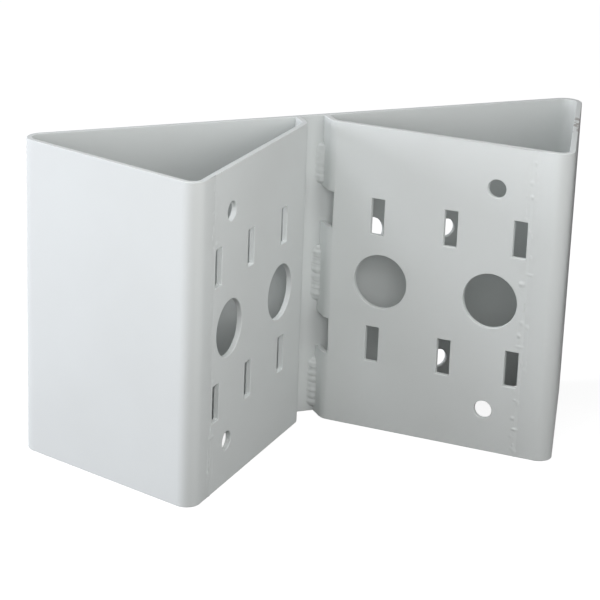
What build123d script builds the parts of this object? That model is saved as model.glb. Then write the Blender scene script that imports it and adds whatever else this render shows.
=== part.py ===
"""Corner bracket for a security camera: a folded steel shell that carries two welded wall plates.

The bracket straddles the outside corner of a building. Its two perforated wall plates bear on the two walls, and
the camera is bolted to the broad front plate. Millimetres, +Z up, standing on its bottom edges. The origin is the
bottom centre of the bounding box, +Y points out of the front plate and -Y towards the building.
"""
import os
from math import cos, hypot, radians, sin, tan

from build123d import *

os.makedirs("parts", exist_ok=True)

# Sheet and folded form, measured on the outside surfaces
height = 170.0
sheet = 3.0
bend_radius = 6.0
corner_bend_radius = 4.5
edge_round = 0.4
face_width = 328.0
side_angle = 60.0
wall_angle = 45.0
channel_width = 13.5
flange_depth = 12.25
return_length = 20.8

# Strap slots, access holes and screw holes of a wall plate
slot_width = 7.5
slot_height = 20.0
slot_row_spacing = 72.0
seam_to_slot = 1.3
outer_slot_pitch = 38.2
inner_slot_pitch = 41.2
notch_reach = 2.1
access_radius = 15.0
access_offset = 14.2
access_spacing = 62.0
screw_radius = 5.0
screw_spacing = 123.0

# Holes of the front plate
camera_hole_radius = 4.8
camera_hole_span = 163.6
camera_hole_rise = 77.4
camera_hole_base = 23.8
cable_hole_radius = 8.5
cable_hole_span = 70.4
cable_hole_height = 102.3

# Ground butt weld along each seam
groove_half_width = 0.8
groove_depth = 1.6
seam_crown = 0.15

# Fillet weld of each flange, laid in three runs between the notches
fillet_foot = 3.0
fillet_leg = 3.6
fillet_bulge = 0.35
lower_run = 29.5
lower_run_start = 2.5
middle_run = 32.0
middle_run_start = 6.5
upper_run = 23.0
upper_run_start = 1.0

# Plan of the right half: x across, v from the front plate's outer face towards the building
outer_radius = bend_radius + sheet
corner_outer_radius = corner_bend_radius + sheet
fold_x = channel_width / 2
fold_v = sheet + flange_depth
rise = tan(radians(wall_angle))
corner_v = (fold_v + (face_width / 2 - fold_x) * rise) / (1 + rise / tan(radians(side_angle)))
corner_x = face_width / 2 - corner_v / tan(radians(side_angle))
wall_length = hypot(corner_x - fold_x, corner_v - fold_v)
along_x = cos(radians(wall_angle))
along_v = sin(radians(wall_angle))
seam_x = corner_x - return_length * along_x
seam_v = corner_v - return_length * along_v

# The round of the outer corner makes the bracket shallower than its sharp corner
half_corner = radians((180.0 - side_angle - wall_angle) / 2)
corner_lean = radians((side_angle - wall_angle) / 2)
depth = corner_v - corner_outer_radius * (cos(corner_lean) / sin(half_corner) - 1)
face_y = depth / 2

# Work planes: the plan seen from below, the seam's cross-section, and the building side of the right wall plate
plan = Plane(origin=(0, face_y, 0), x_dir=(1, 0, 0), z_dir=(0, 0, -1))
seam_plane = Plane(origin=(seam_x, face_y - seam_v, 0), x_dir=(along_x, -along_v, 0), z_dir=(0, 0, -1))
wall_plane = Plane(
    origin=(corner_x, face_y - corner_v, height / 2),
    x_dir=(along_x, -along_v, 0),
    z_dir=(-along_v, -along_x, 0),
)
front_plane = Plane.XZ.offset(-face_y)

# Columns of holes, counted back from the wall plate's sharp outer corner
first_slot = return_length + seam_to_slot + slot_width / 2
slot_columns = [first_slot, first_slot + outer_slot_pitch, first_slot + outer_slot_pitch + inner_slot_pitch]
outer_access = first_slot + access_offset
access_columns = [outer_access, outer_access + access_spacing]
slot_rows = [-slot_row_spacing / 2, slot_row_spacing / 2]

# Edges of the flange's two notches, which stand level with the rows of slots
lower_notch_top = height / 2 - slot_row_spacing / 2 + slot_height / 2
upper_notch_top = height / 2 + slot_row_spacing / 2 + slot_height / 2
fillet_runs = [
    (lower_run_start, lower_run),
    (lower_notch_top + middle_run_start, middle_run),
    (upper_notch_top + upper_run_start, upper_run),
]


def round_rims():
    """Breaks the long edges of a folded sheet's top and bottom rims, but not those of its welded ends."""
    rims = edges().group_by(Axis.Z)
    long_edges = (rims[0] + rims[-1]).filter_by(lambda edge: edge.length > 1.3 * sheet)
    fillet(long_edges, edge_round)


# Weld groove: the vee ground along the seam before the two sheets are joined
with BuildPart() as seam_groove:
    with BuildSketch(seam_plane):
        with BuildLine():
            Polyline(
                (-groove_half_width, 0),
                (0, -groove_depth),
                (groove_half_width, 0),
                close=True,
            )
        make_face()
    extrude(amount=-height)

# Front shell: one sheet folded at four corners, from one welded seam round the front to the other
with BuildPart() as front_shell:
    with BuildSketch(plan):
        with BuildLine():
            right_half = [(seam_x, seam_v), (corner_x, corner_v), (face_width / 2, 0)]
            left_half = [(-x, v) for x, v in reversed(right_half)]
            radii = [corner_outer_radius, outer_radius, outer_radius, corner_outer_radius]
            FilletPolyline(*right_half, *left_half, radius=radii)
            offset(amount=sheet, side=Side.RIGHT)
        make_face()
    extrude(amount=-height)
    round_rims()
    with BuildSketch(front_plane):
        with Locations((0, camera_hole_base + camera_hole_rise / 2)):
            with GridLocations(camera_hole_span, camera_hole_rise, 2, 2):
                Circle(camera_hole_radius)
        with Locations((0, cable_hole_height)):
            with GridLocations(cable_hole_span, 0, 2, 1):
                Circle(cable_hole_radius)
    extrude(amount=sheet, mode=Mode.SUBTRACT)
    add(seam_groove.part, mode=Mode.SUBTRACT)
    mirror(seam_groove.part, about=Plane.YZ, mode=Mode.SUBTRACT)

# Right wall plate: a perforated sheet whose inner end folds into a flange standing square on the front plate
with BuildPart() as right_wall_plate:
    with BuildSketch(plan):
        with BuildLine():
            FilletPolyline((seam_x, seam_v), (fold_x, fold_v), (fold_x, sheet), radius=outer_radius)
            offset(amount=sheet, side=Side.LEFT)
        make_face()
    extrude(amount=-height)
    round_rims()
    with BuildSketch(wall_plane):
        for column in slot_columns:
            for row in slot_rows:
                with Locations((-column, row)):
                    Rectangle(slot_width, slot_height)
        for column in access_columns:
            with Locations((-column, 0)):
                Circle(access_radius)
        with Locations((-outer_access, 0)):
            with GridLocations(0, screw_spacing, 1, 2):
                Circle(screw_radius)
    extrude(amount=-sheet, mode=Mode.SUBTRACT)
    with BuildSketch(wall_plane):
        for row in slot_rows:
            with Locations((notch_reach - wall_length, row)):
                Rectangle(2 * fold_v, slot_height, align=(Align.MAX, Align.CENTER))
    extrude(amount=2 * fold_v, both=True, mode=Mode.SUBTRACT)
    add(seam_groove.part, mode=Mode.SUBTRACT)

with BuildPart() as left_wall_plate:
    mirror(right_wall_plate.part, about=Plane.YZ)

# Seam weld: fills the groove and is ground to a slight crown
with BuildPart() as right_seam_weld:
    with BuildSketch(seam_plane):
        with BuildLine():
            Polyline((-groove_half_width, 0), (0, -groove_depth), (groove_half_width, 0))
            ThreePointArc((groove_half_width, 0), (0, seam_crown), (-groove_half_width, 0))
        make_face()
    extrude(amount=-height)

with BuildPart() as left_seam_weld:
    mirror(right_seam_weld.part, about=Plane.YZ)

# Fillet weld: three runs in the corner between the flange and the front plate
with BuildPart() as right_flange_weld:
    for start, run in fillet_runs:
        with BuildSketch(plan.offset(-start)):
            with BuildLine():
                foot = (fold_x - fillet_foot, sheet)
                toe = (fold_x, sheet + fillet_leg)
                Polyline(toe, (fold_x, sheet), foot)
                SagittaArc(foot, toe, fillet_bulge)
            make_face()
        extrude(amount=-run)

with BuildPart() as left_flange_weld:
    mirror(right_flange_weld.part, about=Plane.YZ)

front_shell.part.label = "front_shell"
export_step(front_shell.part, "parts/front_shell.step")

right_wall_plate.part.label = "right_wall_plate"
export_step(right_wall_plate.part, "parts/right_wall_plate.step")

left_wall_plate.part.label = "left_wall_plate"
export_step(left_wall_plate.part, "parts/left_wall_plate.step")

right_seam_weld.part.label = "right_seam_weld"
export_step(right_seam_weld.part, "parts/right_seam_weld.step")

left_seam_weld.part.label = "left_seam_weld"
export_step(left_seam_weld.part, "parts/left_seam_weld.step")

right_flange_weld.part.label = "right_flange_weld"
export_step(right_flange_weld.part, "parts/right_flange_weld.step")

left_flange_weld.part.label = "left_flange_weld"
export_step(left_flange_weld.part, "parts/left_flange_weld.step")
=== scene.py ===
"""Looks of a camera corner mount bracket: powder-coated sheets, rippled welds, a studio and a camera."""
from math import hypot, pi, radians

import bmesh
import bpy
import numpy as np
from bpy.props import FloatProperty, FloatVectorProperty, IntProperty, PointerProperty
from mathutils import Matrix, Vector


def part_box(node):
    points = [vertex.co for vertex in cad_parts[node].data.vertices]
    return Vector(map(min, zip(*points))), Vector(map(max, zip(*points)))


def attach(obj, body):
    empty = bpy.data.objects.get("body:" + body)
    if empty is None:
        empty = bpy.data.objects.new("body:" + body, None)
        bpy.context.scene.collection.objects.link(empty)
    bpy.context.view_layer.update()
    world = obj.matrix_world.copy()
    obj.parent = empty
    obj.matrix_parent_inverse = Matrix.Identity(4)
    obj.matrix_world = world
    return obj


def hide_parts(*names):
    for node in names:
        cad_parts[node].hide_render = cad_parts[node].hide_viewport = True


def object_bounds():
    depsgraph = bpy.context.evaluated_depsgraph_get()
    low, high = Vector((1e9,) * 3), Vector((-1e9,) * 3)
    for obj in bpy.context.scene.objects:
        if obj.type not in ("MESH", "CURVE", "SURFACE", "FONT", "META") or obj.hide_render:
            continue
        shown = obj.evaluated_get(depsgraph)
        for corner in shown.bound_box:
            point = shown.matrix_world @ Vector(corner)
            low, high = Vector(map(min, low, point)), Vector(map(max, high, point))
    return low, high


bl_info = {
    "name": "Corner Mount Bracket",
    "version": (1, 0, 0),
    "blender": (4, 5, 0),
    "location": "View3D > Sidebar > Bracket",
    "description": "Finishes a welded corner bracket and lights it in a plain studio",
    "category": "Object",
}

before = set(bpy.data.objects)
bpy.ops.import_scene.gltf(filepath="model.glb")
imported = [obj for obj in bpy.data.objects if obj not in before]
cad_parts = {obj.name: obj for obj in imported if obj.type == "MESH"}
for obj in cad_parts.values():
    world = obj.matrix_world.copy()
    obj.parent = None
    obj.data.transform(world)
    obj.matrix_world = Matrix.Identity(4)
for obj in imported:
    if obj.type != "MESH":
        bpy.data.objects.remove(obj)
CAD_BOX = [list(corner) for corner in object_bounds()]
SEAM_LOW, SEAM_HIGH = (np.array(corner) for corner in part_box("right_seam_weld"))
WELD_LOW, WELD_HIGH = (np.array(corner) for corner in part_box("right_flange_weld"))
BODY = "root"
DIAGONAL = 0.5 ** 0.5

# Points of a mesh that are nearer to each other than this are one point
JOIN_DISTANCE = 2e-6

# Holes of the front plate: x and z of the centre and the radius in the CAD, and the same as in the photograph
FRONT_HOLES = (
    ((0.0818, 0.1012, 0.0048), (0.0827, 0.1004, 0.0053)),
    ((0.0818, 0.0238, 0.0048), (0.0827, 0.0230, 0.0053)),
    ((-0.0818, 0.1012, 0.0048), (-0.0827, 0.1004, 0.0053)),
    ((-0.0818, 0.0238, 0.0048), (-0.0827, 0.0230, 0.0053)),
    ((0.0352, 0.1023, 0.0085), (0.0367, 0.1022, 0.0082)),
)
# The hole of the CAD that the photograph shows as plain plate
CLOSED_HOLE = (-0.0352, 0.1023, 0.0085)
# How far behind the plate's outer face a hole's rims may lie, and how far off its radius
HOLE_DEPTH = 0.0035
RIM_TOLERANCE = 0.0002

# Scars of the right rim: the levels, the places across and the distances along y over which they fade in,
# and the y of their middle
SCAR_LEVELS = (0.1686, 0.1694)
SCAR_SIDE = (0.117, 0.121)
SCAR_REACH = (0.015, 0.011)
SCAR_MIDDLE = -0.002

# Strap slots beside a seam: their distance above and below the seam's middle, half their height with some room, and
# the seam's reach towards them
SLOT_LEVEL = 0.036
SLOT_HALF = 0.0106
SLOT_REACH = 0.00095

# Lumps of each ground seam: place across it, level, width and height in millimetres, and share of the tallest lump.
# Then the lower and upper end of its crack in metres.
SEAM_MARKS = {
    "right": (((0.8, 163.3, 0.9, 1.4, 0.7), (-0.6, 152.5, 1.0, 1.2, 0.6), (0.0, 145.0, 0.9, 1.1, 0.7),
               (1.6, 103.2, 1.8, 0.7, 0.5), (-2.4, 97.3, 1.5, 1.2, 1.0), (-1.0, 76.0, 1.2, 1.3, 0.6),
               (-1.9, 69.0, 1.0, 1.4, 0.6), (-1.2, 62.6, 2.0, 0.8, 0.5), (0.0, 31.0, 0.9, 1.3, 0.5),
               (-2.2, 21.8, 1.2, 1.0, 0.7), (-0.9, 15.7, 1.5, 0.8, 0.6)), (0.0815, 0.0875)),
    "left": (((1.5, 142.4, 0.8, 1.6, 0.6), (-2.2, 134.2, 1.3, 0.8, 0.6), (2.6, 138.9, 0.9, 1.0, 0.5),
              (-1.5, 61.8, 1.2, 1.0, 0.5), (0.2, 36.0, 0.7, 3.2, 0.7), (-2.4, 32.0, 1.2, 1.0, 0.5),
              (2.7, 17.0, 0.5, 7.0, 0.6), (-3.0, 14.0, 0.6, 6.0, 0.5)), None),
}

# Strength of the ripples from the lower to the upper end of each run of bead
BEAD_RELIEFS = ((0.6, 0.9, 0.7), (0.6, 1.0, 1.0), (0.8, 0.25, 0.12))
# How much longer than in the CAD the bead's arms are along the front plate and up the flange, and the way that its
# middle rises in plan
FOOT_GROWTH = 1.35
TOE_GROWTH = 1.1
BEAD_OUTWARD = (-0.77, -0.64)

# Soft boxes: name, place, side, watts and colour; and the point that they all face
LAMPS = (
    ("high_key_lamp", (-1.013, 0.179, 1.311), 0.6, 7.6, (0.94, 0.95, 1.0)),
    ("low_key_lamp", (-0.776, 0.137, 0.224), 0.35, 3.5, (0.93, 0.94, 1.0)),
    ("front_left_lamp", (-0.130, -0.358, 0.263), 0.2, 0.58, (1.0, 1.0, 1.0)),
    ("front_right_lamp", (0.130, -0.358, 0.263), 0.2, 0.36, (1.0, 1.0, 1.0)),
)
LAMP_AIM = (0.0, 0.0, 0.085)
# Card that keeps the right side plate in shade: its two ends in plan, and its lower and upper edge
CARD_ENDS = ((0.164, -0.046), (0.250, 0.103))
CARD_LEVELS = (0.02, 0.26)


class PaintSettings(bpy.types.PropertyGroup):
    """Powder coat of the sheets and welds."""

    colour: FloatVectorProperty(
        name="Paint colour", description="Grey-white of the powder coat", subtype="COLOR", size=3,
        default=(0.737, 0.763, 0.754), min=0.0, max=1.0)
    shade: FloatVectorProperty(
        name="Thin-coat colour", description="Slightly warmer grey where the coat lies thin", subtype="COLOR",
        size=3, default=(0.672, 0.690, 0.676), min=0.0, max=1.0)
    scar: FloatVectorProperty(
        name="Scar colour", description="Dull grey of the scars of the right rim", subtype="COLOR", size=3,
        default=(0.42, 0.41, 0.39), min=0.0, max=1.0)
    roughness: FloatProperty(
        name="Roughness", description="How dull the satin coat is", default=0.58, min=0.05, max=1.0)
    specular: FloatProperty(
        name="Specular level", description="Strength of the coat's gloss", default=0.15, min=0.0, max=1.0)
    peel_size: FloatProperty(
        name="Orange-peel size", description="Width of one swell of the coat", default=0.0016, unit="LENGTH")
    peel_depth: FloatProperty(
        name="Orange-peel depth", description="Strength of the coat's swells", default=0.05, min=0.0, max=1.0)
    grain_size: FloatProperty(
        name="Grain size", description="Width of one speck of the powder", default=0.0004, unit="LENGTH")
    edge_radius: FloatProperty(
        name="Edge radius", description="Round that the coat leaves on a cut edge", default=0.00035, unit="LENGTH")


class WeldSettings(bpy.types.PropertyGroup):
    """Ripples of the fillet welds and blemishes of the ground seams."""

    ripple_pitch: FloatProperty(
        name="Ripple pitch", description="Distance between two ripples of the bead", default=0.0046, unit="LENGTH")
    ripple_height: FloatProperty(
        name="Ripple height", description="How far a ripple stands out", default=0.0005, unit="LENGTH")
    ripple_bow: FloatProperty(
        name="Ripple bow", description="How far a ripple's middle trails its ends", default=0.0008, unit="LENGTH")
    bead_crown: FloatProperty(
        name="Bead crown", description="Rise of the bead's middle over its hollow flanks", default=0.0005,
        unit="LENGTH")
    wander: FloatProperty(
        name="Wander", description="Share by which the bead's size wanders", default=0.07, min=0.0, max=0.3)
    bead_taper: FloatProperty(
        name="Bead taper", description="Length over which a run starts and ends", default=0.0038, unit="LENGTH")
    groove_depth: FloatProperty(
        name="Groove depth", description="Depth of the seam's groove under the weld", default=0.0016,
        unit="LENGTH")
    seam_reach: FloatProperty(
        name="Seam reach", description="Half the width of the strip that the grinder went over", default=0.004,
        unit="LENGTH")
    seam_crown: FloatProperty(
        name="Seam crown", description="What the grinder left standing on the seam", default=0.00006,
        unit="LENGTH")
    seam_lump: FloatProperty(
        name="Seam lump", description="Height of the seam's tallest lumps", default=0.0005, unit="LENGTH")
    stations: IntProperty(
        name="Stations", description="Cross-sections along one run of bead", default=170, min=20, max=600)


class StudioSettings(bpy.types.PropertyGroup):
    """Camera, lamps and floor."""

    target: FloatVectorProperty(
        name="Target", description="Point that the camera looks at", subtype="TRANSLATION", size=3,
        default=(-0.02305, 0.00037, 0.085))
    turn: FloatProperty(
        name="Turn", description="Camera's turn to the right about the vertical", subtype="ANGLE",
        default=radians(22.09))
    tilt: FloatProperty(
        name="Tilt", description="How far the camera looks down", subtype="ANGLE", default=radians(19.59))
    roll: FloatProperty(
        name="Roll", description="Camera's roll about its own axis", subtype="ANGLE", default=radians(2.14))
    distance: FloatProperty(
        name="Distance", description="From the camera to its target", default=1.1642, unit="LENGTH")
    lens: FloatProperty(
        name="Lens", description="Focal length in millimetres for a sensor 36 mm wide", default=133.93)
    floor_size: FloatProperty(
        name="Floor size", description="Side of the floor", default=24.0, unit="LENGTH")
    floor_colour: FloatVectorProperty(
        name="Floor colour", description="Share of the light on it that the floor adds to its white", subtype="COLOR",
        size=3, default=(0.3, 0.3, 0.3), min=0.0, max=1.0)
    floor_glow: FloatProperty(
        name="Floor glow", description="White that the camera sees in the floor's shadows", default=0.88, min=0.0,
        max=1.0)
    floor_bounce: FloatVectorProperty(
        name="Floor bounce", description="Share of light that the floor throws back on the bracket", subtype="COLOR",
        size=3, default=(0.08, 0.08, 0.08), min=0.0, max=1.0)
    sky_strength: FloatProperty(
        name="Sky strength", description="Light of the grey sky on the bracket", default=0.35, min=0.0)
    card_colour: FloatVectorProperty(
        name="Card colour", description="Grey of the card that keeps the right side in shade", subtype="COLOR",
        size=3, default=(0.05, 0.05, 0.05), min=0.0, max=1.0)


# Materials


def new_group(name, inputs, outputs):
    """An empty shader node group with named float, colour or vector sockets, and its two end nodes."""
    group = bpy.data.node_groups.new(name, "ShaderNodeTree")
    for label, kind, value in inputs:
        socket = group.interface.new_socket(name=label, in_out="INPUT", socket_type=kind)
        if value is not None:
            socket.default_value = value
    for label, kind in outputs:
        group.interface.new_socket(name=label, in_out="OUTPUT", socket_type=kind)
    return group, group.nodes.new("NodeGroupInput"), group.nodes.new("NodeGroupOutput")


def maths(tree, operation, first, second=None, clamp=False):
    """A Math node whose inputs are sockets or numbers."""
    node = tree.nodes.new("ShaderNodeMath")
    node.operation = operation
    node.use_clamp = clamp
    for socket, value in zip(node.inputs, (first, second)):
        if isinstance(value, bpy.types.NodeSocket):
            tree.links.new(value, socket)
        elif value is not None:
            socket.default_value = value
    return node.outputs[0]


def noise(tree, vector, scale, detail, roughness):
    """A Noise Texture's value in object space."""
    node = tree.nodes.new("ShaderNodeTexNoise")
    node.inputs["Detail"].default_value = detail
    node.inputs["Roughness"].default_value = roughness
    tree.links.new(vector, node.inputs["Vector"])
    if isinstance(scale, bpy.types.NodeSocket):
        tree.links.new(scale, node.inputs["Scale"])
    else:
        node.inputs["Scale"].default_value = scale
    return node.outputs["Fac"]


def spread(tree, value, low, high):
    """Maps a value's stretch from low to high onto 0 to 1."""
    node = tree.nodes.new("ShaderNodeMapRange")
    tree.links.new(value, node.inputs["Value"])
    node.inputs["From Min"].default_value = low
    node.inputs["From Max"].default_value = high
    return node.outputs["Result"]


def coat_texture_group():
    """Height of the powder coat: broad orange-peel swells with a fine grain on top."""
    group, entry, exit_node = new_group(
        "coat_texture",
        [("Vector", "NodeSocketVector", None), ("Peel Scale", "NodeSocketFloat", 600.0),
         ("Grain Scale", "NodeSocketFloat", 2500.0), ("Grain Share", "NodeSocketFloat", 0.3)],
        [("Height", "NodeSocketFloat")])
    peel = noise(group, entry.outputs["Vector"], entry.outputs["Peel Scale"], 1.0, 0.4)
    grain = noise(group, entry.outputs["Vector"], entry.outputs["Grain Scale"], 2.0, 0.6)
    fine = maths(group, "MULTIPLY", grain, entry.outputs["Grain Share"])
    group.links.new(maths(group, "ADD", peel, fine), exit_node.inputs["Height"])
    return group


def coat_tone_group():
    """Uneven coat: broad thick and thin places, and faint flow marks that run slantwise."""
    group, entry, exit_node = new_group(
        "coat_tone",
        [("Vector", "NodeSocketVector", None), ("Broad Scale", "NodeSocketFloat", 14.0),
         ("Flow Scale", "NodeSocketFloat", 26.0)],
        [("Thin", "NodeSocketFloat"), ("Flow", "NodeSocketFloat")])
    broad = noise(group, entry.outputs["Vector"], entry.outputs["Broad Scale"], 3.0, 0.55)
    stretch = group.nodes.new("ShaderNodeMapping")
    stretch.inputs["Rotation"].default_value = (0.5, 0.3, 0.0)
    stretch.inputs["Scale"].default_value = (1.0, 1.0, 0.22)
    group.links.new(entry.outputs["Vector"], stretch.inputs["Vector"])
    flow = noise(group, stretch.outputs["Vector"], entry.outputs["Flow Scale"], 2.0, 0.5)
    group.links.new(spread(group, broad, 0.42, 0.72), exit_node.inputs["Thin"])
    group.links.new(spread(group, flow, 0.55, 0.75), exit_node.inputs["Flow"])
    return group


def edge_wear_group():
    """Where a rounded edge turns: how far the bevelled normal leans away from the true one."""
    group, entry, exit_node = new_group(
        "edge_wear", [("Vector", "NodeSocketVector", None), ("Spread", "NodeSocketFloat", 0.5)],
        [("Mask", "NodeSocketFloat")])
    rounded = group.nodes.new("ShaderNodeBevel")
    rounded.samples = 6
    rounded.inputs["Radius"].default_value = 0.0009
    geometry = group.nodes.new("ShaderNodeNewGeometry")
    compare = group.nodes.new("ShaderNodeVectorMath")
    compare.operation = "DOT_PRODUCT"
    group.links.new(rounded.outputs["Normal"], compare.inputs[0])
    group.links.new(geometry.outputs["Normal"], compare.inputs[1])
    turned = maths(group, "SUBTRACT", 1.0, compare.outputs["Value"], clamp=True)
    patches = spread(group, noise(group, entry.outputs["Vector"], 90.0, 3.0, 0.6), 0.35, 0.7)
    worn = maths(group, "MULTIPLY", maths(group, "MULTIPLY", turned, 3.0, clamp=True), patches)
    group.links.new(maths(group, "MULTIPLY", worn, entry.outputs["Spread"]), exit_node.inputs["Mask"])
    return group


def weld_halo_group():
    """Dull halo of the heated strip beside a weld, from its distance in plan to the weld's centre line."""
    group, entry, exit_node = new_group(
        "weld_halo",
        [("Vector", "NodeSocketVector", None), ("Centre X", "NodeSocketFloat", 0.0),
         ("Centre Y", "NodeSocketFloat", 0.0), ("Reach", "NodeSocketFloat", 0.006)],
        [("Mask", "NodeSocketFloat")])
    axes = group.nodes.new("ShaderNodeSeparateXYZ")
    group.links.new(entry.outputs["Vector"], axes.inputs["Vector"])
    across = maths(group, "SUBTRACT", maths(group, "ABSOLUTE", axes.outputs["X"]), entry.outputs["Centre X"])
    along = maths(group, "SUBTRACT", axes.outputs["Y"], entry.outputs["Centre Y"])
    squared = maths(group, "ADD", maths(group, "MULTIPLY", across, across), maths(group, "MULTIPLY", along, along))
    ratio = maths(group, "DIVIDE", maths(group, "SQRT", squared), entry.outputs["Reach"])
    near = maths(group, "SUBTRACT", 1.0, ratio, clamp=True)
    patches = spread(group, noise(group, entry.outputs["Vector"], 160.0, 3.0, 0.6), 0.4, 0.62)
    group.links.new(maths(group, "MULTIPLY", near, patches), exit_node.inputs["Mask"])
    return group


def rim_scar_group():
    """Rough scars on the top rim of the right side plate: a window in height and place, broken up by noise."""
    group, entry, exit_node = new_group(
        "rim_scars", [("Vector", "NodeSocketVector", None), ("Scar Scale", "NodeSocketFloat", 330.0)],
        [("Mask", "NodeSocketFloat")])
    axes = group.nodes.new("ShaderNodeSeparateXYZ")
    group.links.new(entry.outputs["Vector"], axes.inputs["Vector"])
    on_rim = spread(group, axes.outputs["Z"], *SCAR_LEVELS)
    on_side = spread(group, axes.outputs["X"], *SCAR_SIDE)
    away = maths(group, "ABSOLUTE", maths(group, "SUBTRACT", axes.outputs["Y"], SCAR_MIDDLE))
    window = maths(group, "MULTIPLY", maths(group, "MULTIPLY", on_rim, on_side), spread(group, away, *SCAR_REACH))
    stretch = group.nodes.new("ShaderNodeMapping")
    stretch.inputs["Scale"].default_value = (1.0, 0.6, 0.4)
    group.links.new(entry.outputs["Vector"], stretch.inputs["Vector"])
    flecks = spread(group, noise(group, stretch.outputs["Vector"], entry.outputs["Scar Scale"], 2.0, 0.6), 0.5, 0.56)
    group.links.new(maths(group, "MULTIPLY", window, flecks), exit_node.inputs["Mask"])
    return group


def place_group(tree, group, values):
    """Places a node group in a material with its own values; each is a socket or a number."""
    node = tree.nodes.new("ShaderNodeGroup")
    node.node_tree = group
    for label, value in values.items():
        if isinstance(value, bpy.types.NodeSocket):
            tree.links.new(value, node.inputs[label])
        else:
            node.inputs[label].default_value = value
    return node


def blend_colour(tree, mask, first, second):
    """Mixes two colours by a mask; each is a socket or three numbers."""
    node = tree.nodes.new("ShaderNodeMix")
    node.data_type = "RGBA"
    tree.links.new(mask, node.inputs[0])
    for socket, value in zip((node.inputs[6], node.inputs[7]), (first, second)):
        if isinstance(value, bpy.types.NodeSocket):
            tree.links.new(value, socket)
        else:
            socket.default_value = (*value, 1.0)
    return node.outputs[2]


def powder_coat(name, groups, paint, peel=1.0, tone=1.0, halo_centre=None, shade_creases=False, scarred=False):
    """Satin powder coat on steel sheet or weld metal, with a halo beside a weld, painted shade in a bead's creases or
    scars where asked for.
    """
    thin_share, flow_roughness = 0.35 * tone, 0.06
    edge_share, edge_shade = 0.35, 0.93
    halo_reach, halo_share, halo_roughness, halo_height = 0.007, 0.35, 0.12, 0.8
    # Share and darkness of the painted shade in the creases between a bead's ripples
    painted_shade_share, painted_crease_darkness = 0.4, 0.72
    scar_depth = 2.0
    material = bpy.data.materials.new(name)
    material.use_nodes = True
    tree = material.node_tree
    shader = tree.nodes["Principled BSDF"]
    place = tree.nodes.new("ShaderNodeTexCoord").outputs["Object"]
    texture = place_group(tree, groups["texture"], {
        "Vector": place, "Peel Scale": 1.0 / paint.peel_size, "Grain Scale": 1.0 / paint.grain_size})
    shading = place_group(tree, groups["tone"], {"Vector": place})
    edges = place_group(tree, groups["edge"], {"Vector": place, "Spread": edge_share})
    thin = maths(tree, "MULTIPLY", shading.outputs["Thin"], thin_share, clamp=True)
    colour = blend_colour(tree, thin, tuple(paint.colour), tuple(paint.shade))
    worn = blend_colour(tree, edges.outputs["Mask"], colour, tuple(edge_shade * c for c in paint.shade))
    height = texture.outputs["Height"]
    rough = maths(tree, "ADD", paint.roughness, maths(tree, "MULTIPLY", shading.outputs["Flow"], flow_roughness))
    if halo_centre is not None:
        halo = place_group(tree, groups["halo"], {
            "Vector": place, "Centre X": halo_centre[0], "Centre Y": halo_centre[1], "Reach": halo_reach})
        mask = halo.outputs["Mask"]
        worn = blend_colour(tree, maths(tree, "MULTIPLY", mask, halo_share), worn, tuple(paint.shade))
        rough = maths(tree, "ADD", rough, maths(tree, "MULTIPLY", mask, halo_roughness))
        height = maths(tree, "ADD", height, maths(tree, "MULTIPLY", mask, halo_height))
    # Painted shade: the colour is darkened in the creases between the bead's ripples
    if shade_creases:
        painted_crease_shade = tree.nodes.new("ShaderNodeAttribute")
        painted_crease_shade.attribute_name = "painted_crease_shade"
        worn = blend_colour(tree, maths(tree, "MULTIPLY", painted_crease_shade.outputs["Fac"], painted_shade_share), worn,
                            tuple(painted_crease_darkness * c for c in paint.shade))
    if scarred:
        scars = place_group(tree, groups["scars"], {"Vector": place})
        worn = blend_colour(tree, scars.outputs["Mask"], worn, tuple(paint.scar))
        height = maths(tree, "SUBTRACT", height, maths(tree, "MULTIPLY", scars.outputs["Mask"], scar_depth))
    bump = tree.nodes.new("ShaderNodeBump")
    bump.inputs["Strength"].default_value = paint.peel_depth * peel
    bump.inputs["Distance"].default_value = 0.0004
    tree.links.new(height, bump.inputs["Height"])
    tree.links.new(worn, shader.inputs["Base Color"])
    tree.links.new(rough, shader.inputs["Roughness"])
    tree.links.new(bump.outputs["Normal"], shader.inputs["Normal"])
    shader.inputs["Specular IOR Level"].default_value = paint.specular
    return material


def coat_groups():
    """The shared node groups, built once."""
    if "coat_texture" in bpy.data.node_groups:
        named = bpy.data.node_groups
        return {"texture": named["coat_texture"], "tone": named["coat_tone"], "edge": named["edge_wear"],
                "halo": named["weld_halo"], "scars": named["rim_scars"]}
    return {"texture": coat_texture_group(), "tone": coat_tone_group(), "edge": edge_wear_group(),
            "halo": weld_halo_group(), "scars": rim_scar_group()}


# Meshes


def add_piece(name, mesh, node, material):
    """Lets a finished mesh ride in place of a CAD node, with its paint."""
    piece = bpy.data.objects.new(name, mesh)
    bpy.context.scene.collection.objects.link(piece)
    mesh.materials.clear()
    mesh.materials.append(material)
    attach(piece, BODY)
    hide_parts(node)
    return piece


def close_hole(shape, x, z, radius):
    """Takes the wall of a hole out of the front plate's mesh and fills both of its rims."""
    rim = {vertex for vertex in shape.verts if vertex.co.y > CAD_BOX[1][1] - HOLE_DEPTH
           and abs(hypot(vertex.co.x - x, vertex.co.z - z) - radius) < RIM_TOLERANCE}
    wall = [face for face in shape.faces if rim.issuperset(face.verts)]
    bmesh.ops.delete(shape, geom=wall, context="FACES")
    bmesh.ops.holes_fill(shape, edges=[edge for edge in shape.edges if edge.is_boundary], sides=0)
    bmesh.ops.recalc_face_normals(shape, faces=shape.faces)


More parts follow.
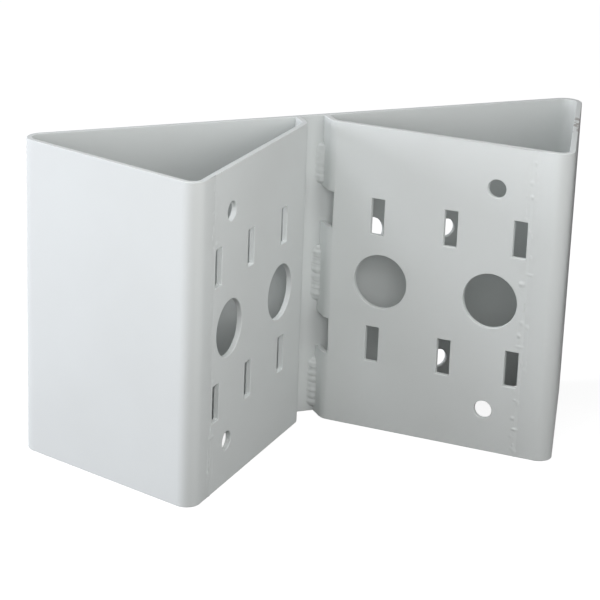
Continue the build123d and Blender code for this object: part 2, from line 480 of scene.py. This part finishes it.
def move_front_holes(mesh):
    """Moves the front plate's holes to where the photograph shows them.

    A rim's points are those as far from the hole's axis as its radius. Each keeps its direction from the axis: its
    new place is the new centre plus its offset from the old centre times the new radius over the old one.
    """
    places = np.empty(len(mesh.vertices) * 3)
    mesh.vertices.foreach_get("co", places)
    places = places.reshape(-1, 3)
    in_front = places[:, 1] > CAD_BOX[1][1] - HOLE_DEPTH
    for (x, z, radius), (seen_x, seen_z, seen_radius) in FRONT_HOLES:
        offset = places[:, [0, 2]] - (x, z)
        rim = in_front & (np.abs(np.hypot(offset[:, 0], offset[:, 1]) - radius) < RIM_TOLERANCE)
        places[rim, 0] = seen_x + offset[rim, 0] * seen_radius / radius
        places[rim, 2] = seen_z + offset[rim, 1] * seen_radius / radius
    mesh.vertices.foreach_set("co", places.reshape(-1))
    mesh.update()


def merged_copy(name, node):
    """A copy of a CAD node's mesh with its loose triangles joined, its flat faces cleaned and its folds smooth. The
    front shell's holes are corrected."""
    mesh = bpy.data.objects[node].data.copy()
    mesh.name = name
    shape = bmesh.new()
    shape.from_mesh(mesh)
    bmesh.ops.remove_doubles(shape, verts=shape.verts, dist=JOIN_DISTANCE)
    bmesh.ops.dissolve_limit(shape, angle_limit=radians(0.4), verts=shape.verts, edges=shape.edges)
    if node == "front_shell":
        close_hole(shape, *CLOSED_HOLE)
    shape.to_mesh(mesh)
    shape.free()
    if node == "front_shell":
        move_front_holes(mesh)
    mesh.polygons.foreach_set("use_smooth", np.full(len(mesh.polygons), True))
    mesh.set_sharp_from_angle(angle=radians(35.0))
    return mesh


def break_edges(piece, width):
    """Rounds the cut edges of holes, slots and notches as far as the coat does, and joins the points that this
    doubles at the rims' corners."""
    bevel = piece.modifiers.new("coat_round", "BEVEL")
    bevel.width = width
    bevel.segments = 2
    bevel.limit_method = "ANGLE"
    bevel.angle_limit = radians(75.0)
    bevel.use_clamp_overlap = False
    joined = piece.modifiers.new("rim_corners_join", "WELD")
    joined.merge_threshold = JOIN_DISTANCE
    flats = piece.modifiers.new("flats_stay_flat", "WEIGHTED_NORMAL")
    flats.keep_sharp = True


def tube_mesh(name, tubes, painted_crease_shade=None):
    """Joins closed tubes into one mesh. A tube is an array of rings by points by x, y and z; each ring is closed, each
    end is capped by its own ring, and the optional painted crease shade is one number per point in the same order."""
    places, faces, start = [], [], 0
    for tube in tubes:
        rings, points = tube.shape[:2]
        ring = np.arange(points)
        ahead = (ring + 1) % points
        rows = start + np.arange(rings - 1)[:, None] * points
        quads = np.stack([rows + ring, rows + ahead, rows + points + ahead, rows + points + ring], axis=-1)
        faces += quads.reshape(-1, 4).tolist()
        faces += [(start + ring[::-1]).tolist(), (start + (rings - 1) * points + ring).tolist()]
        places.append(tube.reshape(-1, 3))
        start += rings * points
    places = np.concatenate(places)
    mesh = bpy.data.meshes.new(name)
    mesh.from_pydata(places.tolist(), [], faces)
    shape = bmesh.new()
    shape.from_mesh(mesh)
    bmesh.ops.recalc_face_normals(shape, faces=shape.faces)
    shape.to_mesh(mesh)
    shape.free()
    mesh.polygons.foreach_set("use_smooth", np.full(len(mesh.polygons), True))
    mesh.set_sharp_from_angle(angle=radians(55.0))
    # The painted crease shade goes to a point attribute by which the bead's coat is darkened
    if painted_crease_shade is not None:
        mesh.attributes.new("painted_crease_shade", "FLOAT", "POINT").data.foreach_set("value", painted_crease_shade.astype(np.float32))
    return mesh


def run_heights(node):
    """Lower and upper end of each run of a flange weld, read from the CAD node."""
    mesh = bpy.data.objects[node].data
    points = np.empty(len(mesh.vertices) * 3)
    mesh.vertices.foreach_get("co", points)
    levels = np.unique(np.round(points.reshape(-1, 3)[:, 2], 5))
    return levels.reshape(-1, 2)


def fillet_bead(side, low, high, weld, relief, random):
    """One run of rippled fillet weld.

    With u from 0 at the foot on the front plate to 1 at the toe on the flange, its section is the root corner plus
    the foot's arm times (1 - u) to the power 1.5 plus the toe's arm times u to the power 1.5, raised in the middle
    by the crown times the square of sin(pi u). The section is scaled about the root corner: its size wanders along
    the run by the product of two sines, and falls along a quarter circle to a twentieth at either end. Ripples lie on
    each other like scales: a ripple's height is the 0.45th power of the way up it times the 0.8th power of the way
    left, times sin(pi u) to the power 1.2, and 2.26 makes its peak 1. It is bowed along the run by a parabola in u,
    leans towards the toe and is shifted by two sines. The painted shade in the crease between two ripples, which
    darkens the bead's colour there, is a bell curve. A tube's last column is the root corner.
    """
    columns, ripple_lean, crease_shade_width, end_size = 19, 0.0006, 0.09, 0.05
    height = np.linspace(low, high, weld.stations)[:, None]
    across = np.linspace(0.0, 1.0, columns)[None, :]
    root = np.array([WELD_HIGH[0], WELD_HIGH[1]])
    foot = np.array([WELD_LOW[0] - WELD_HIGH[0], 0.0]) * FOOT_GROWTH
    toe = np.array([0.0, WELD_LOW[1] - WELD_HIGH[1]]) * TOE_GROWTH

    bow = weld.ripple_bow * (1 - (2 * across - 1) ** 2) + ripple_lean * across
    slip = 0.0004 * np.sin(height * 700.0 + random.uniform(0, 6)) + 0.0003 * np.sin(height * 1730.0)
    phase = (height + slip + bow - low) / weld.ripple_pitch + random.uniform(0, 1)
    part = phase % 1.0
    strength = random.uniform(0.5, 1.15, int(phase.max()) + 2)[phase.astype(int)]
    scale = 2.26 * part ** 0.45 * (1 - part) ** 0.8
    # Painted shade: a bell curve in each crease between two ripples, which darkens the bead's colour there
    painted_crease_shade = np.exp(-((np.minimum(part, 1 - part) / crease_shade_width) ** 2))
    way = np.clip(np.minimum(height - low, high - height) / weld.bead_taper, 0.0, 1.0)
    fade = np.sqrt(1 - (1 - way) ** 2).clip(end_size, 1.0)
    grown = fade * (1 + weld.wander * np.sin(height * 520.0 + random.uniform(0, 6)) * np.sin(height * 1310.0 + 1.0))
    relief_here = np.interp(height, np.linspace(low, high, len(relief)), relief)
    lift = weld.bead_crown * np.sin(pi * across) ** 2
    lift = lift + weld.ripple_height * relief_here * strength * scale * np.sin(pi * across) ** 1.2

    arms = (1 - across[..., None]) ** 1.5 * foot + across[..., None] ** 1.5 * toe
    plan = root + grown[..., None] * (arms + lift[..., None] * np.array(BEAD_OUTWARD))
    outer = np.concatenate([plan, np.broadcast_to(height[..., None], plan.shape[:2] + (1,))], axis=-1)
    inner = np.broadcast_to(np.append(root, 0.0), (weld.stations, 1, 3)).copy()
    inner[..., 2] = height
    tube = np.concatenate([outer, inner], axis=1)
    tube[..., 0] *= side
    # Painted crease shade of each point; the root corner gets none
    crease_shade_marks = np.concatenate([painted_crease_shade * relief_here * np.sin(pi * across) ** 0.6, np.zeros_like(height)], axis=1)
    return tube, crease_shade_marks


def smooth_steps(places, spacing, random):
    """Random numbers from 0 to 1 at even spacing, joined by straight lines."""
    knots = np.arange(places.min() - spacing, places.max() + 2 * spacing, spacing)
    return np.interp(places, knots, random.uniform(0.0, 1.0, len(knots)))


def ground_seam(side, weld, random, lumps, crack):
    """The butt weld of an outer seam, ground nearly flush, with the strip beside it that the grinder went over.

    Over the sheets' face its height is a small sinking, plus a crown that falls off as a bell curve across the seam
    and comes and goes along it, plus a faint ridge on each side, also a bell curve, where the grinder's path ends,
    plus a bell curve for each lump. A crack is a narrow bell curve downwards. With t from -1 to 1 across the strip, a
    column's place is the reach times 0.35 t plus 0.65 t cubed, so columns lie closer at the seam. The strip is narrow
    beside the strap slots and a little shorter than the seam away from its middle. Its underside goes from its edges
    to the edges of the groove, just below the sheets' face, and then straight down to the groove's root.
    """
    sinking = 0.00003
    crown_width, crown_spacing = 0.0011, 0.009
    ridge_place, ridge_width, ridge_spacing = 0.0029, 0.00035, 0.014
    crack_depth, crack_width, crack_fade = 0.0003, 0.00016, 0.001
    small_lumps, columns, rows = 30, 49, 440
    end_gap, gap_start, gap_fade = 0.00045, 0.0007, 0.0003
    vee_edge, strip_depth, vee_edge_depth = 0.0008, 0.0003, 0.0004
    low, high = float(SEAM_LOW[2]), float(SEAM_HIGH[2])
    middle = (low + high) / 2
    t = np.linspace(-1.0, 1.0, columns)[None, :]
    along = np.linspace(-1.0, 1.0, rows)[:, None]
    level = middle + along * (high - low) / 2
    beside_slot = np.abs(np.abs(level - middle) - SLOT_LEVEL) < SLOT_HALF
    inner_reach = np.where(beside_slot, SLOT_REACH, weld.seam_reach)
    shape = 0.35 * t + 0.65 * t ** 3
    across = np.where(t < 0, inner_reach * shape, weld.seam_reach * shape)
    shorter = end_gap * np.clip((np.abs(across) - gap_start) / gap_fade, 0.0, 1.0)
    level = middle + along * ((high - low) / 2 - shorter)

    crown = np.exp(-((across / crown_width) ** 2))
    rise = -sinking + weld.seam_crown * smooth_steps(level[:, :1], crown_spacing, random) * crown
    ridge = np.exp(-(((np.abs(across) - ridge_place) / ridge_width) ** 2))
    rise = rise + weld.seam_crown * smooth_steps(level[:, :1], ridge_spacing, random) * ridge
    table = np.stack([random.uniform(-0.003, 0.003, small_lumps), random.uniform(low, high, small_lumps),
                      random.uniform(0.0005, 0.0013, small_lumps), random.uniform(0.0005, 0.0016, small_lumps),
                      random.uniform(0.15, 0.5, small_lumps)], axis=1)
    table = np.concatenate([table, np.array(lumps) * (0.001, 0.001, 0.001, 0.001, 1.0)])
    for place, place_level, wide, tall, lift in table:
        bell = np.exp(-(((across - place) / wide) ** 2) - ((level - place_level) / tall) ** 2)
        rise = rise + weld.seam_lump * lift * bell
    if crack:
        fade_in = np.clip((level - crack[0]) / crack_fade, 0.0, 1.0)
        fade_out = np.clip((crack[1] - level) / crack_fade, 0.0, 1.0)
        rise = rise - crack_depth * fade_in * fade_out * np.exp(-((across / crack_width) ** 2))

    centre = np.array([SEAM_HIGH[0], SEAM_HIGH[1]]) - weld.groove_depth * DIAGONAL
    aside = np.array([DIAGONAL, -DIAGONAL])
    outward = np.array([-DIAGONAL, -DIAGONAL])
    plan = centre + across[..., None] * aside + rise[..., None] * outward
    outer = np.concatenate([plan, level[..., None]], axis=-1)
    edge = across[:, [-1, -1, 0, 0]].copy()
    edge[:, 1], edge[:, 2] = vee_edge, -vee_edge
    depth = np.array([strip_depth, vee_edge_depth, vee_edge_depth, strip_depth])
    under = centre + edge[..., None] * aside - depth[None, :, None] * outward
    under = np.concatenate([under, level[:, [-1, -1, 0, 0], None]], axis=-1)
    deep = np.broadcast_to(np.append(centre - weld.groove_depth * outward, 0.0), (len(level), 1, 3)).copy()
    half = columns // 2
    deep[..., 2] = level[:, half:half + 1]
    tube = np.concatenate([outer, under[:, :2], deep, under[:, 2:]], axis=1)
    tube[..., 0] *= side
    return tube


class BRACKET_OT_paint_sheets(bpy.types.Operator):
    """Rounds the cut edges of the folded shell and both wall plates, and powder-coats them"""

    bl_idname = "bracket.paint_sheets"
    bl_label = "Paint Sheets"

    def execute(self, context):
        paint = context.scene.bracket_paint
        groups = coat_groups()
        seam = tuple(float(v) for v in (SEAM_LOW[:2] + SEAM_HIGH[:2]) / 2)
        shell = powder_coat("shell_powder_coat", groups, paint, halo_centre=seam, scarred=True)
        plate = powder_coat("wall_plate_powder_coat", groups, paint, halo_centre=seam)
        for node, slot_name, material in (
                ("front_shell", "shell_paint", shell), ("left_wall_plate", "wall_plate_paint", plate),
                ("right_wall_plate", "wall_plate_paint", plate)):
            piece = add_piece(node + "_coated", merged_copy(node + "_coated", node), node, material)
            break_edges(piece, paint.edge_radius)
        return {"FINISHED"}


class BRACKET_OT_seam_welds(bpy.types.Operator):
    """Builds the ground butt weld of each outer seam"""

    bl_idname = "bracket.seam_welds"
    bl_label = "Seam Welds"

    def execute(self, context):
        weld = context.scene.bracket_weld
        coat = powder_coat("weld_powder_coat", coat_groups(), context.scene.bracket_paint)
        for side, word, seed in ((1.0, "right", 11), (-1.0, "left", 12)):
            tube = ground_seam(side, weld, np.random.default_rng(seed), *SEAM_MARKS[word])
            add_piece(f"{word}_ground_seam", tube_mesh(f"{word}_ground_seam", [tube]), f"{word}_seam_weld",
                      coat)
        return {"FINISHED"}


class BRACKET_OT_flange_welds(bpy.types.Operator):
    """Builds the rippled fillet welds between the flanges and the front plate"""

    bl_idname = "bracket.flange_welds"
    bl_label = "Flange Welds"

    def execute(self, context):
        weld = context.scene.bracket_weld
        # The beads' coat carries painted shade in the creases between ripples
        coat = powder_coat("bead_coat_with_painted_crease_shade", coat_groups(), context.scene.bracket_paint, peel=1.3, tone=1.4,
                           shade_creases=True)
        for side, word, seed in ((1.0, "right", 21), (-1.0, "left", 22)):
            random = np.random.default_rng(seed)
            runs = [fillet_bead(side, low, high, weld, relief, random)
                    for (low, high), relief in zip(run_heights(f"{word}_flange_weld"), BEAD_RELIEFS)]
            # Painted shade for the creases between the bead's ripples, one number per point
            painted_crease_shade = np.concatenate([crease_shade_marks.reshape(-1) for _, crease_shade_marks in runs])
            mesh = tube_mesh(f"{word}_fillet_beads", [tube for tube, _ in runs], painted_crease_shade)
            add_piece(f"{word}_fillet_beads", mesh, f"{word}_flange_weld", coat)
        return {"FINISHED"}


# Studio


class BRACKET_OT_studio(bpy.types.Operator):
    """Sets the floor, the lamps, the world and the camera"""

    bl_idname = "bracket.studio"
    bl_label = "Studio"

    def execute(self, context):
        studio = context.scene.bracket_studio
        self.floor(studio)
        self.world(context.scene, studio)
        for lamp in LAMPS:
            self.lamp(*lamp)
        self.shade_card(studio)
        self.camera(context.scene, studio)
        return {"FINISHED"}

    def floor(self, studio):
        """A pale floor that shows nearly white to the camera, keeps the object's shadow and bounces little light."""
        half = studio.floor_size / 2
        mesh = bpy.data.meshes.new("studio_floor")
        corners = [(-half, -half, 0.0), (half, -half, 0.0), (half, half, 0.0), (-half, half, 0.0)]
        mesh.from_pydata(corners, [], [(0, 1, 2, 3)])
        floor = bpy.data.objects.new("studio_floor", mesh)
        bpy.context.scene.collection.objects.link(floor)
        material = bpy.data.materials.new("pale_floor")
        material.use_nodes = True
        tree = material.node_tree
        tree.nodes.remove(tree.nodes["Principled BSDF"])
        output = tree.nodes["Material Output"]
        seen = self.seen_ray(tree)
        bounce = tree.nodes.new("ShaderNodeBsdfDiffuse")
        bounce.inputs["Color"].default_value = (*studio.floor_bounce, 1.0)
        lit = tree.nodes.new("ShaderNodeBsdfDiffuse")
        lit.inputs["Color"].default_value = (*studio.floor_colour, 1.0)
        white = tree.nodes.new("ShaderNodeEmission")
        white.inputs["Strength"].default_value = studio.floor_glow
        shown = tree.nodes.new("ShaderNodeAddShader")
        tree.links.new(lit.outputs["BSDF"], shown.inputs[0])
        tree.links.new(white.outputs["Emission"], shown.inputs[1])
        choose = tree.nodes.new("ShaderNodeMixShader")
        tree.links.new(seen, choose.inputs["Fac"])
        tree.links.new(bounce.outputs["BSDF"], choose.inputs[1])
        tree.links.new(shown.outputs["Shader"], choose.inputs[2])
        tree.links.new(choose.outputs["Shader"], output.inputs["Surface"])
        mesh.materials.append(material)

    def seen_ray(self, tree):
        """One where a ray comes from the camera, from gloss or through glass."""
        path = tree.nodes.new("ShaderNodeLightPath")
        direct = maths(tree, "MAXIMUM", path.outputs["Is Camera Ray"], path.outputs["Is Glossy Ray"])
        return maths(tree, "MAXIMUM", direct, path.outputs["Is Transmission Ray"])

    def world(self, scene, studio):
        """White to the camera, and a soft grey sky to the object."""
        world = bpy.data.worlds.new("studio_world")
        world.use_nodes = True
        scene.world = world
        tree = world.node_tree
        sky = tree.nodes["Background"]
        sky.inputs["Color"].default_value = (1.0, 1.0, 1.0, 1.0)
        sky.inputs["Strength"].default_value = studio.sky_strength
        white = tree.nodes.new("ShaderNodeBackground")
        white.inputs["Color"].default_value = (1.0, 1.0, 1.0, 1.0)
        choose = tree.nodes.new("ShaderNodeMixShader")
        tree.links.new(self.seen_ray(tree), choose.inputs["Fac"])
        tree.links.new(sky.outputs["Background"], choose.inputs[1])
        tree.links.new(white.outputs["Background"], choose.inputs[2])
        tree.links.new(choose.outputs["Shader"], tree.nodes["World Output"].inputs["Surface"])

    def lamp(self, name, place, size, power, colour):
        """A square soft box that faces the bracket."""
        data = bpy.data.lights.new(name, "AREA")
        data.size = size
        data.energy = power
        data.color = colour
        lamp = bpy.data.objects.new(name, data)
        bpy.context.scene.collection.objects.link(lamp)
        lamp.location = place
        aim = Vector(LAMP_AIM) - Vector(place)
        lamp.rotation_euler = aim.to_track_quat("-Z", "Y").to_euler()

    def shade_card(self, studio):
        """An upright grey card beside the right side plate, along it. The camera doesn't see it."""
        (start, end), (low, high) = CARD_ENDS, CARD_LEVELS
        mesh = bpy.data.meshes.new("shade_card")
        mesh.from_pydata([(*start, low), (*end, low), (*end, high), (*start, high)], [], [(0, 1, 2, 3)])
        card = bpy.data.objects.new("shade_card", mesh)
        bpy.context.scene.collection.objects.link(card)
        material = bpy.data.materials.new("grey_card")
        material.use_nodes = True
        shader = material.node_tree.nodes["Principled BSDF"]
        shader.inputs["Base Color"].default_value = (*studio.card_colour, 1.0)
        shader.inputs["Roughness"].default_value = 0.9
        mesh.materials.append(material)
        card.visible_camera = False

    def camera(self, scene, studio):
        """The photograph's viewing angle: turn, tilt and roll about the target."""
        data = bpy.data.cameras.new("photo_camera")
        data.sensor_width = 36.0
        data.lens = studio.lens
        data.clip_start = 0.05
        data.clip_end = 60.0
        camera = bpy.data.objects.new("photo_camera", data)
        scene.collection.objects.link(camera)
        turned = Matrix.Rotation(-studio.turn, 4, "Z") @ Matrix.Rotation(pi / 2 - studio.tilt, 4, "X")
        rolled = turned @ Matrix.Rotation(studio.roll, 4, "Z")
        backward = rolled.to_3x3() @ Vector((0.0, 0.0, 1.0))
        place = Vector(studio.target) + backward * studio.distance
        camera.matrix_world = Matrix.Translation(place) @ rolled
        scene.camera = camera
        scene.view_settings.view_transform = "Standard"


class BRACKET_PT_panel(bpy.types.Panel):
    """Lists the bracket's operators and settings"""

    bl_idname = "BRACKET_PT_panel"
    bl_label = "Corner Mount Bracket"
    bl_space_type = "VIEW_3D"
    bl_region_type = "UI"
    bl_category = "Bracket"

    def draw(self, context):
        for operator in OPERATORS:
            self.layout.operator(operator.bl_idname)
        for settings in (context.scene.bracket_paint, context.scene.bracket_weld, context.scene.bracket_studio):
            column = self.layout.column()
            for name in settings.bl_rna.properties.keys():
                if name not in {"rna_type", "name"}:
                    column.prop(settings, name)


OPERATORS = (BRACKET_OT_paint_sheets, BRACKET_OT_seam_welds, BRACKET_OT_flange_welds, BRACKET_OT_studio)
SETTINGS = (PaintSettings, WeldSettings, StudioSettings)


def register():
    """Registers the settings, the operators and the panel."""
    for item in (*SETTINGS, *OPERATORS, BRACKET_PT_panel):
        bpy.utils.register_class(item)
    bpy.types.Scene.bracket_paint = PointerProperty(type=PaintSettings)
    bpy.types.Scene.bracket_weld = PointerProperty(type=WeldSettings)
    bpy.types.Scene.bracket_studio = PointerProperty(type=StudioSettings)


def unregister():
    """Takes them all away again."""
    for name in ("bracket_paint", "bracket_weld", "bracket_studio"):
        delattr(bpy.types.Scene, name)
    for item in reversed((*SETTINGS, *OPERATORS, BRACKET_PT_panel)):
        bpy.utils.unregister_class(item)


def main():
    register()
    bpy.ops.bracket.paint_sheets()
    bpy.ops.bracket.seam_welds()
    bpy.ops.bracket.flange_welds()
    bpy.ops.bracket.studio()


if __name__ == "__main__":
    main()
